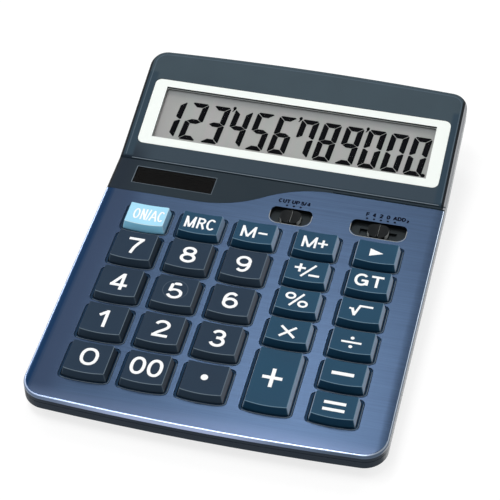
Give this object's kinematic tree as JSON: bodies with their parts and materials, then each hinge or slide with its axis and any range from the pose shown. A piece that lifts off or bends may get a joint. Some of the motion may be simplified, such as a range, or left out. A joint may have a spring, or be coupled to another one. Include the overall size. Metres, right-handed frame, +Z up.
{
  "type": "desktop calculator",
  "caption": "Desktop calculator with a metal faceplate, raised sprung keys, two slide switches, solar cell and a fixed sloping display.",
  "frame": {"origin": "on the table, under the middle of the footprint", "axes": "+X to the user's right, +Y from the keys towards the display, +Z up from the table"},
  "size_m": [0.1344, 0.1838, 0.0328],
  "materials": {
    "faceplate": "brushed",
    "housing": "satin",
    "rubber": "matte",
    "keypad": "matte",
    "board": "satin",
    "seal": "gloss",
    "parts": "gloss",
    "window": "clear",
    "cell_glass": "gloss",
    "lead": "satin",
    "lens": "clear",
    "surround": "gloss",
    "panel": "satin",
    "tray": "matte",
    "ribbon": "satin",
    "steel": "satin",
    "screw": "satin",
    "knob": "satin",
    "number_key": "satin",
    "function_key": "satin",
    "on_key": "satin"
  },
  "bodies": {
    "case": {"faceplate": "faceplate", "top_housing": "housing", "bottom_shell": "housing", "rubber_feet": "rubber", "rubber_keypad": "keypad", "main_board": "board", "processor_seal": "seal", "board_parts": "parts", "solar_window": "window", "solar_cell": "cell_glass", "solar_leads": "lead", "display_lens": "lens", "display_frame": "surround", "display_panel": "panel", "display_holder": "tray", "display_ribbon": "ribbon", "button_cell": "steel", "side_contact": "steel", "top_contact": "steel", "battery_leads": "lead", "case_screws": "screw", "board_screws": "screw", "holder_screws": "screw"},
    "battery_door": {"battery_door": "housing"},
    "rounding_switch": {"rounding_switch_knob": "knob", "rounding_switch_wiper": "steel"},
    "decimal_switch": {"decimal_switch_knob": "knob", "decimal_switch_wiper": "steel"},
    "key_0": {"key_0": "number_key"},
    "key_00": {"key_00": "number_key"},
    "key_point": {"key_point": "number_key"},
    "key_1": {"key_1": "number_key"},
    "key_2": {"key_2": "number_key"},
    "key_3": {"key_3": "number_key"},
    "key_4": {"key_4": "number_key"},
    "key_5": {"key_5": "number_key"},
    "key_6": {"key_6": "number_key"},
    "key_7": {"key_7": "number_key"},
    "key_8": {"key_8": "number_key"},
    "key_9": {"key_9": "number_key"},
    "key_equals": {"key_equals": "function_key"},
    "key_subtract": {"key_subtract": "function_key"},
    "key_divide": {"key_divide": "function_key"},
    "key_root": {"key_root": "function_key"},
    "key_grand_total": {"key_grand_total": "function_key"},
    "key_multiply": {"key_multiply": "function_key"},
    "key_percent": {"key_percent": "function_key"},
    "key_sign": {"key_sign": "function_key"},
    "key_add": {"key_add": "function_key"},
    "key_memory_recall": {"key_memory_recall": "function_key"},
    "key_memory_subtract": {"key_memory_subtract": "function_key"},
    "key_memory_add": {"key_memory_add": "function_key"},
    "key_step_back": {"key_step_back": "function_key"},
    "key_on_clear": {"key_on_clear": "on_key"}
  },
  "joints": [
    {"name": "key_0_press", "type": "slide", "parent": "case", "child": "key_0", "axis": [0, 0.0436, -0.999], "range_m": [0, 0.0022], "stiffness_N_per_m": 300, "springref_m": -0.001, "deforming": ["rubber_keypad"]},
    {"name": "key_00_press", "type": "slide", "parent": "case", "child": "key_00", "axis": [0, 0.0436, -0.999], "range_m": [0, 0.0022], "stiffness_N_per_m": 300, "springref_m": -0.001},
    {"name": "key_point_press", "type": "slide", "parent": "case", "child": "key_point", "axis": [0, 0.0436, -0.999], "range_m": [0, 0.0022], "stiffness_N_per_m": 300, "springref_m": -0.001},
    {"name": "key_1_press", "type": "slide", "parent": "case", "child": "key_1", "axis": [0, 0.0436, -0.999], "range_m": [0, 0.0022], "stiffness_N_per_m": 300, "springref_m": -0.001},
    {"name": "key_2_press", "type": "slide", "parent": "case", "child": "key_2", "axis": [0, 0.0436, -0.999], "range_m": [0, 0.0022], "stiffness_N_per_m": 300, "springref_m": -0.001},
    {"name": "key_3_press", "type": "slide", "parent": "case", "child": "key_3", "axis": [0, 0.0436, -0.999], "range_m": [0, 0.0022], "stiffness_N_per_m": 300, "springref_m": -0.001},
    {"name": "key_4_press", "type": "slide", "parent": "case", "child": "key_4", "axis": [0, 0.0436, -0.999], "range_m": [0, 0.0022], "stiffness_N_per_m": 300, "springref_m": -0.001},
    {"name": "key_5_press", "type": "slide", "parent": "case", "child": "key_5", "axis": [0, 0.0436, -0.999], "range_m": [0, 0.0022], "stiffness_N_per_m": 300, "springref_m": -0.001},
    {"name": "key_6_press", "type": "slide", "parent": "case", "child": "key_6", "axis": [0, 0.0436, -0.999], "range_m": [0, 0.0022], "stiffness_N_per_m": 300, "springref_m": -0.001},
    {"name": "key_7_press", "type": "slide", "parent": "case", "child": "key_7", "axis": [0, 0.0436, -0.999], "range_m": [0, 0.0022], "stiffness_N_per_m": 300, "springref_m": -0.001},
    {"name": "key_8_press", "type": "slide", "parent": "case", "child": "key_8", "axis": [0, 0.0436, -0.999], "range_m": [0, 0.0022], "stiffness_N_per_m": 300, "springref_m": -0.001},
    {"name": "key_9_press", "type": "slide", "parent": "case", "child": "key_9", "axis": [0, 0.0436, -0.999], "range_m": [0, 0.0022], "stiffness_N_per_m": 300, "springref_m": -0.001},
    {"name": "key_equals_press", "type": "slide", "parent": "case", "child": "key_equals", "axis": [0, 0.0436, -0.999], "range_m": [0, 0.0022], "stiffness_N_per_m": 300, "springref_m": -0.001},
    {"name": "key_subtract_press", "type": "slide", "parent": "case", "child": "key_subtract", "axis": [0, 0.0436, -0.999], "range_m": [0, 0.0022], "stiffness_N_per_m": 300, "springref_m": -0.001},
    {"name": "key_divide_press", "type": "slide", "parent": "case", "child": "key_divide", "axis": [0, 0.0436, -0.999], "range_m": [0, 0.0022], "stiffness_N_per_m": 300, "springref_m": -0.001},
    {"name": "key_root_press", "type": "slide", "parent": "case", "child": "key_root", "axis": [0, 0.0436, -0.999], "range_m": [0, 0.0022], "stiffness_N_per_m": 300, "springref_m": -0.001},
    {"name": "key_grand_total_press", "type": "slide", "parent": "case", "child": "key_grand_total", "axis": [0, 0.0436, -0.999], "range_m": [0, 0.0022], "stiffness_N_per_m": 300, "springref_m": -0.001},
    {"name": "key_multiply_press", "type": "slide", "parent": "case", "child": "key_multiply", "axis": [0, 0.0436, -0.999], "range_m": [0, 0.0022], "stiffness_N_per_m": 300, "springref_m": -0.001},
    {"name": "key_percent_press", "type": "slide", "parent": "case", "child": "key_percent", "axis": [0, 0.0436, -0.999], "range_m": [0, 0.0022], "stiffness_N_per_m": 300, "springref_m": -0.001},
    {"name": "key_sign_press", "type": "slide", "parent": "case", "child": "key_sign", "axis": [0, 0.0436, -0.999], "range_m": [0, 0.0022], "stiffness_N_per_m": 300, "springref_m": -0.001},
    {"name": "key_add_press", "type": "slide", "parent": "case", "child": "key_add", "axis": [0, 0.0436, -0.999], "range_m": [0, 0.0022], "stiffness_N_per_m": 300, "springref_m": -0.001},
    {"name": "key_memory_recall_press", "type": "slide", "parent": "case", "child": "key_memory_recall", "axis": [0, 0.0436, -0.999], "range_m": [0, 0.0022], "stiffness_N_per_m": 300, "springref_m": -0.001},
    {"name": "key_memory_subtract_press", "type": "slide", "parent": "case", "child": "key_memory_subtract", "axis": [0, 0.0436, -0.999], "range_m": [0, 0.0022], "stiffness_N_per_m": 300, "springref_m": -0.001},
    {"name": "key_memory_add_press", "type": "slide", "parent": "case", "child": "key_memory_add", "axis": [0, 0.0436, -0.999], "range_m": [0, 0.0022], "stiffness_N_per_m": 300, "springref_m": -0.001},
    {"name": "key_step_back_press", "type": "slide", "parent": "case", "child": "key_step_back", "axis": [0, 0.0436, -0.999], "range_m": [0, 0.0022], "stiffness_N_per_m": 300, "springref_m": -0.001},
    {"name": "key_on_clear_press", "type": "slide", "parent": "case", "child": "key_on_clear", "axis": [0, 0.0436, -0.999], "range_m": [0, 0.0022], "stiffness_N_per_m": 300, "springref_m": -0.001},
    {"name": "rounding_switch_slide", "type": "slide", "parent": "case", "child": "rounding_switch", "axis": [1, 0, 0], "range_m": [-0.00275, 0.00275]},
    {"name": "decimal_switch_slide", "type": "slide", "parent": "case", "child": "decimal_switch", "axis": [1, 0, 0], "range_m": [-0.0055, 0.0055]},
    {"name": "battery_door_slide", "type": "slide", "parent": "case", "child": "battery_door", "axis": [0, 1, 0], "range_m": [0, 0.02]}
  ]
}
